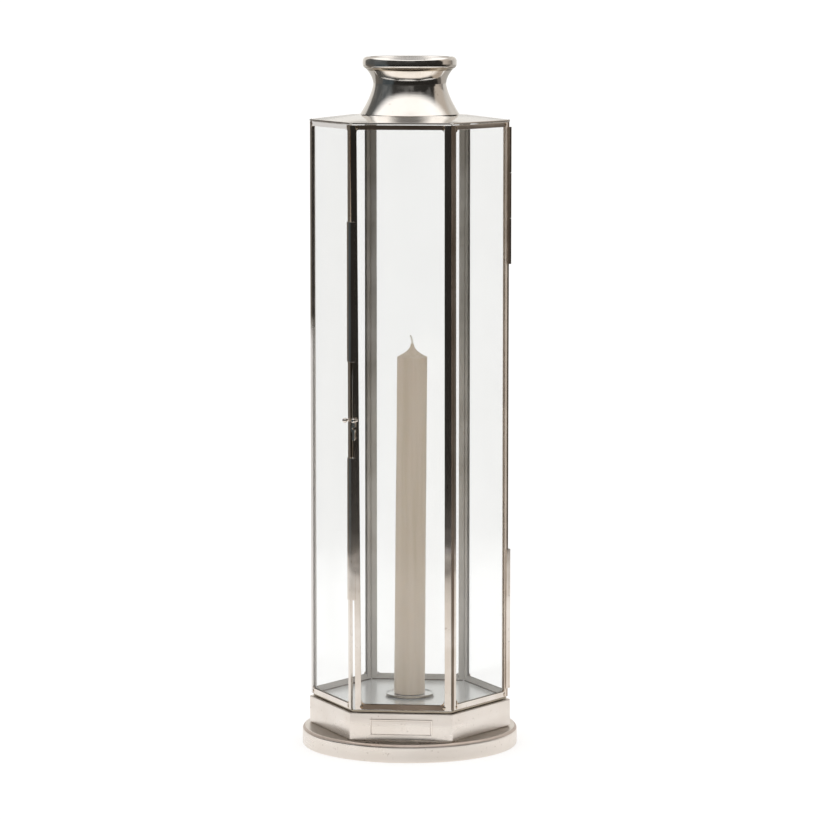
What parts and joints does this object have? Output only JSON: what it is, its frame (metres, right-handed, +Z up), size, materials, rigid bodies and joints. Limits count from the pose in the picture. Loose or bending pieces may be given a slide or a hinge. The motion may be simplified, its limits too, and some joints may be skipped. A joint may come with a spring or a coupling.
{
  "type": "candle lantern",
  "caption": "Tall hexagonal glass lantern with polished nickel framing, a hinged two-panel door, a round foot, an open spun neck and a dinner candle on a spike.",
  "frame": {"origin": "on the ground under the middle of the round foot", "axes": "+Z up the candle's axis; -Y towards the front pane with the nameplate; +X towards the hinge corner"},
  "size_m": [0.1508, 0.1508, 0.4816],
  "materials": {
    "nickel": "hand-polished nickel plate",
    "polished_floor": "mirror-polished nickel plate",
    "steel": "plain turned steel",
    "glass": "clear window glass",
    "wax": "smooth greige candle wax",
    "wick": "braided cotton dipped in wax"
  },
  "bodies": {
    "lantern": {"foot": "nickel", "base_box": "nickel", "floor_plate": "polished_floor", "nameplate": "nickel", "drip_tray": "nickel", "candle_spike": "steel", "spike_washer": "steel", "spike_nut": "steel", "roof": "nickel", "neck": "nickel", "upper_hinge_frame_leaf": "nickel", "lower_hinge_frame_leaf": "nickel", "upper_hinge_pin": "steel", "lower_hinge_pin": "steel", "catch_stud": "nickel", "back_right_stile_a": "nickel", "back_right_stile_b": "nickel", "back_right_rail_bottom": "nickel", "back_right_rail_top": "nickel", "back_right_pane": "glass", "back_stile_a": "nickel", "back_stile_b": "nickel", "back_rail_bottom": "nickel", "back_rail_top": "nickel", "back_pane": "glass", "back_left_stile_a": "nickel", "back_left_stile_b": "nickel", "back_left_rail_bottom": "nickel", "back_left_rail_top": "nickel", "back_left_pane": "glass", "left_stile_a": "nickel", "left_stile_b": "nickel", "left_rail_bottom": "nickel", "left_rail_top": "nickel", "left_pane": "glass"},
    "door": {"upper_hinge_door_leaf": "nickel", "lower_hinge_door_leaf": "nickel", "upper_stop_strip": "nickel", "lower_stop_strip": "nickel", "latch_pivot": "nickel", "front_stile_a": "nickel", "front_stile_b": "nickel", "front_rail_bottom": "nickel", "front_rail_top": "nickel", "front_pane": "glass", "right_stile_a": "nickel", "right_stile_b": "nickel", "right_rail_bottom": "nickel", "right_rail_top": "nickel", "right_pane": "glass"},
    "latch_hook": {"latch_hook": "nickel"},
    "candle": {"candle": "wax", "wick": "wick"}
  },
  "joints": [
    {"name": "door_hinge", "type": "hinge", "parent": "lantern", "child": "door", "pos_m": [0.0698, 0, 0.2367], "axis": [0, 0, 1], "range_deg": [0, 180]},
    {"name": "latch_swing", "type": "hinge", "parent": "door", "child": "latch_hook", "pos_m": [-0.03235, -0.06313, 0.2352], "axis": [0.5, 0.866, 0], "range_deg": [-270, 60]},
    {"name": "candle_lift", "type": "slide", "parent": "lantern", "child": "candle", "axis": [0, 0, 1], "range_m": [0, 0.022]}
  ]
}
